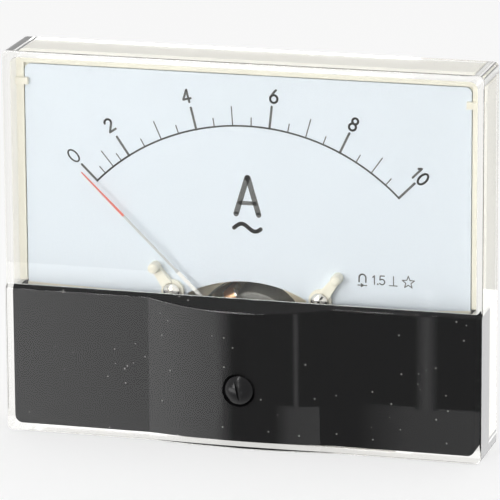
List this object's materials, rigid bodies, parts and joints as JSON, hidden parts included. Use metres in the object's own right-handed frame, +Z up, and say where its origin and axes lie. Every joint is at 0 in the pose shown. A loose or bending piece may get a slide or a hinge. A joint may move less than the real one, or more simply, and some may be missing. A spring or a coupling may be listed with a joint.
{
  "type": "analog panel meter",
  "caption": "Rectangular moving-coil panel meter with a clear moulded cover, a black lower front, a pale dial, a thin pointer and a round barrel behind the panel.",
  "frame": {"origin": "centre of the four mounting studs, on the plane where the back of the bezel seats on its panel; the bezel is centred there too", "axes": "+Z up, -Y out of the dial towards the reader, +Y into the panel along the studs, +X to the right"},
  "size_m": [0.1, 0.0649, 0.08],
  "materials": {
    "clear_plastic": "clear moulded",
    "black_plastic": "black moulded",
    "dial_paint": "pale matt paint",
    "stop_plastic": "cream moulded",
    "pointer_paint": "red paint",
    "bare_brass": "bare",
    "bare_aluminium": "bare",
    "copper_wire": "enamelled copper",
    "spring_steel": "polished",
    "spring_bronze": "bare",
    "nickel": "nickel plated",
    "magnet": "ground",
    "soft_iron": "dark plated",
    "frame_plastic": "cream moulded",
    "base_plastic": "cream moulded",
    "board": "green laminate",
    "component_black": "moulded",
    "component_body": "coated"
  },
  "bodies": {
    "housing": {"front_cover": "clear_plastic", "black_mask": "black_plastic", "dial_plate": "dial_paint", "dial_screws": "nickel", "left_pointer_stop": "stop_plastic", "right_pointer_stop": "stop_plastic", "front_jewel_screw": "bare_brass", "rear_jewel_screw": "bare_brass", "rear_spring_arm": "bare_brass", "rear_hairspring": "spring_bronze", "core_magnet": "magnet", "yoke_ring": "soft_iron", "movement_frame": "frame_plastic", "front_bridge": "nickel", "bridge_screws": "nickel", "frame_screws": "nickel", "base_housing": "base_plastic", "mounting_studs": "nickel", "terminal_studs": "bare_brass", "terminal_nuts": "bare_brass", "terminal_washers": "nickel", "circuit_board": "board", "rectifier_diodes": "component_black", "series_resistor": "component_body", "trim_resistor": "component_body", "transformer_core": "soft_iron", "transformer_bobbin": "component_black", "transformer_winding": "copper_wire"},
    "zero_screw": {"zero_adjust_screw": "black_plastic", "zero_screw_clip": "spring_steel"},
    "zero_lever": {"zero_lever": "nickel", "front_hairspring": "spring_bronze"},
    "moving_coil": {"pointer": "pointer_paint", "balance_cross": "bare_brass", "balance_weights": "bare_brass", "coil_former": "bare_aluminium", "coil_winding": "copper_wire", "front_half_shaft": "spring_steel", "rear_half_shaft": "spring_steel"}
  },
  "joints": [
    {"name": "zero_screw_turn", "type": "hinge", "parent": "housing", "child": "zero_screw", "pos_m": [0, -0.0145, -0.0275], "axis": [0, 1, 0], "range_deg": [-40, 40]},
    {"name": "zero_lever_swing", "type": "hinge", "parent": "housing", "child": "zero_lever", "pos_m": [0, -0.0111, -0.0185], "axis": [0, 1, 0], "range_deg": [-2.4, 2.4]},
    {"name": "pointer_swing", "type": "hinge", "parent": "zero_lever", "child": "moving_coil", "pos_m": [0, 0.002, -0.0185], "axis": [0, 1, 0], "range_deg": [-1.5, 91.5], "stiffness_Nm_per_rad": 0.00006, "deforming": ["front_hairspring", "rear_hairspring"]}
  ],
  "couplings": [
    {"joint": "zero_lever_swing", "follows": "zero_screw_turn", "ratio": 0.0577}
  ]
}
